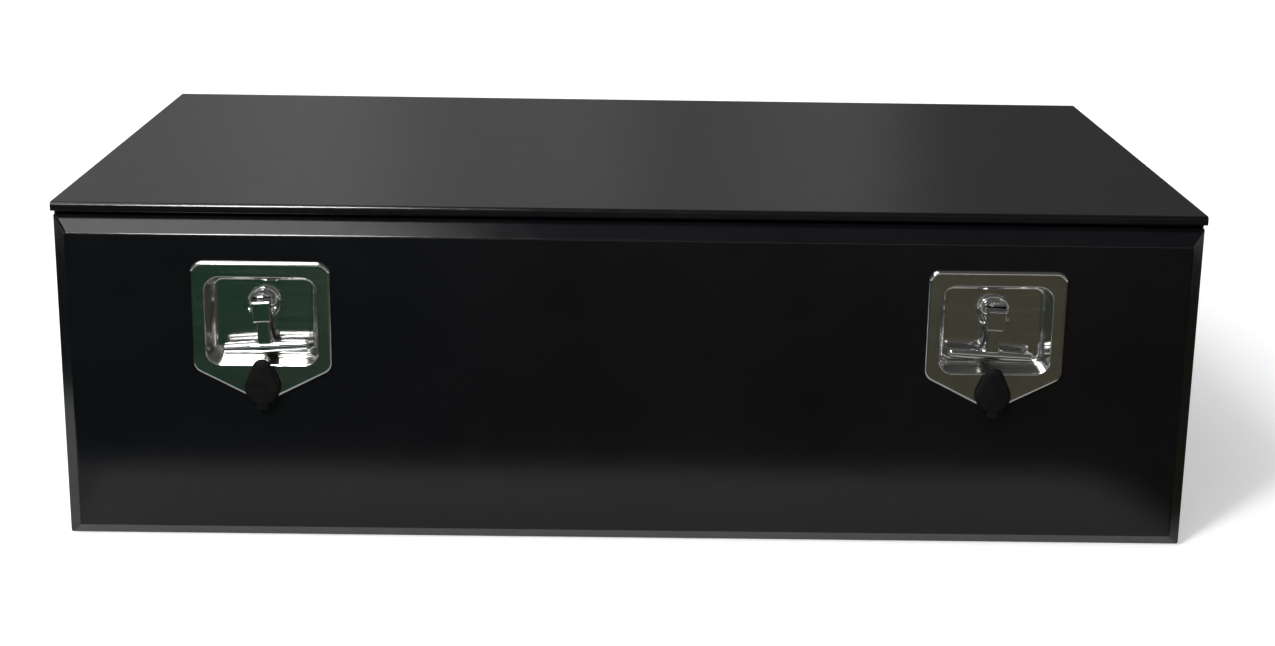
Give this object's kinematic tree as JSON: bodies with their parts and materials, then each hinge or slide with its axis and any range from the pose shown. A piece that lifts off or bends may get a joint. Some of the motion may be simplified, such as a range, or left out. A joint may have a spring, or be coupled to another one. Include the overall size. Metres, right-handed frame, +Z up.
{
  "type": "steel tool box",
  "caption": "Black powder-coated steel tool box with a bevelled drop-down front door on a piano hinge, slotted stays, a bulb seal and recessed folding T-handle locks.",
  "frame": {"origin": "centre of the body's flat base, under the floor sheet", "axes": "+X to the right as seen from the front, +Y to the back, +Z up; the door faces -Y"},
  "size_m": [1, 0.6042, 0.305],
  "materials": {
    "black_powder_coat": "semi-gloss black powder coat on steel sheet",
    "polished_stainless": "polished stainless steel pressing",
    "handle_chrome": "bright plated casting",
    "zinc_steel": "bright zinc-plated steel",
    "black_rubber": "matt black rubber",
    "brass": "plain turned brass"
  },
  "bodies": {
    "box": {"body_wrap": "black_powder_coat", "left_side_panel": "black_powder_coat", "right_side_panel": "black_powder_coat", "top_rail": "black_powder_coat", "door_seal": "black_rubber", "hinge_body_leaf": "zinc_steel", "hinge_pin": "zinc_steel", "hinge_body_rivets": "zinc_steel", "left_stay_body_bracket": "black_powder_coat", "right_stay_body_bracket": "black_powder_coat", "left_stay_stud": "zinc_steel", "right_stay_stud": "zinc_steel"},
    "door": {"door_panel": "black_powder_coat", "door_rim": "black_powder_coat", "hinge_door_leaf": "zinc_steel", "hinge_door_rivets": "zinc_steel", "left_stay_door_bracket": "black_powder_coat", "right_stay_door_bracket": "black_powder_coat", "left_lock_dish": "polished_stainless", "left_lock_gasket": "black_rubber", "left_dish_nuts": "zinc_steel", "left_spindle_bush": "zinc_steel", "left_key_barrel": "handle_chrome", "left_barrel_nut": "zinc_steel", "left_cover_pin": "zinc_steel", "right_lock_dish": "polished_stainless", "right_lock_gasket": "black_rubber", "right_dish_nuts": "zinc_steel", "right_spindle_bush": "zinc_steel", "right_key_barrel": "handle_chrome", "right_barrel_nut": "zinc_steel", "right_cover_pin": "zinc_steel"},
    "left_stay": {"left_stay_arm": "zinc_steel", "left_stay_rivet": "zinc_steel"},
    "left_lock_spindle": {"left_spindle": "handle_chrome", "left_cam": "zinc_steel", "left_cam_nut": "zinc_steel"},
    "left_handle": {"left_t_handle": "handle_chrome", "left_handle_pin": "handle_chrome"},
    "left_cover": {"left_key_cover": "black_rubber"},
    "left_key_lock": {"left_key_plug": "brass", "left_lock_tongue": "zinc_steel"},
    "right_stay": {"right_stay_arm": "zinc_steel", "right_stay_rivet": "zinc_steel"},
    "right_lock_spindle": {"right_spindle": "handle_chrome", "right_cam": "zinc_steel", "right_cam_nut": "zinc_steel"},
    "right_handle": {"right_t_handle": "handle_chrome", "right_handle_pin": "handle_chrome"},
    "right_cover": {"right_key_cover": "black_rubber"},
    "right_key_lock": {"right_key_plug": "brass", "right_lock_tongue": "zinc_steel"}
  },
  "joints": [
    {"name": "door_drop", "type": "hinge", "parent": "box", "child": "door", "pos_m": [0, -0.28825, 0.0045], "axis": [1, 0, 0], "range_deg": [0, 90]},
    {"name": "left_stay_swing", "type": "hinge", "parent": "door", "child": "left_stay", "pos_m": [-0.453, -0.28825, 0.1545], "axis": [-1, 0, 0], "range_deg": [0, 45]},
    {"name": "left_spindle_turn", "type": "hinge", "parent": "door", "child": "left_lock_spindle", "pos_m": [-0.319, -0.289, 0.217], "axis": [0, 1, 0], "range_deg": [0, 90]},
    {"name": "left_handle_fold", "type": "hinge", "parent": "left_lock_spindle", "child": "left_handle", "pos_m": [-0.31884, -0.3015, 0.214], "axis": [-0.9986, 0, -0.0523], "range_deg": [0, 90]},
    {"name": "left_cover_swing", "type": "hinge", "parent": "door", "child": "left_cover", "pos_m": [-0.319, -0.311, 0.1608], "axis": [0, 1, 0], "range_deg": [-100, 100]},
    {"name": "left_key_turn", "type": "hinge", "parent": "door", "child": "left_key_lock", "pos_m": [-0.319, -0.311, 0.147], "axis": [0, 1, 0], "range_deg": [0, 90]},
    {"name": "right_stay_swing", "type": "hinge", "parent": "door", "child": "right_stay", "pos_m": [0.453, -0.28825, 0.1545], "axis": [-1, 0, 0], "range_deg": [0, 45]},
    {"name": "right_spindle_turn", "type": "hinge", "parent": "door", "child": "right_lock_spindle", "pos_m": [0.319, -0.289, 0.217], "axis": [0, -1, 0], "range_deg": [0, 90]},
    {"name": "right_handle_fold", "type": "hinge", "parent": "right_lock_spindle", "child": "right_handle", "pos_m": [0.31884, -0.3015, 0.214], "axis": [-0.9986, 0, 0.0523], "range_deg": [0, 90]},
    {"name": "right_cover_swing", "type": "hinge", "parent": "door", "child": "right_cover", "pos_m": [0.319, -0.311, 0.1608], "axis": [0, 1, 0], "range_deg": [-100, 100]},
    {"name": "right_key_turn", "type": "hinge", "parent": "door", "child": "right_key_lock", "pos_m": [0.319, -0.311, 0.147], "axis": [0, 1, 0], "range_deg": [0, 90]}
  ],
  "couplings": [
    {"joint": "left_stay_swing", "follows": "door_drop", "ratio": 0.5},
    {"joint": "left_spindle_turn", "follows": "left_handle_fold", "ratio": 1},
    {"joint": "right_stay_swing", "follows": "door_drop", "ratio": 0.5},
    {"joint": "right_spindle_turn", "follows": "right_handle_fold", "ratio": 1}
  ]
}
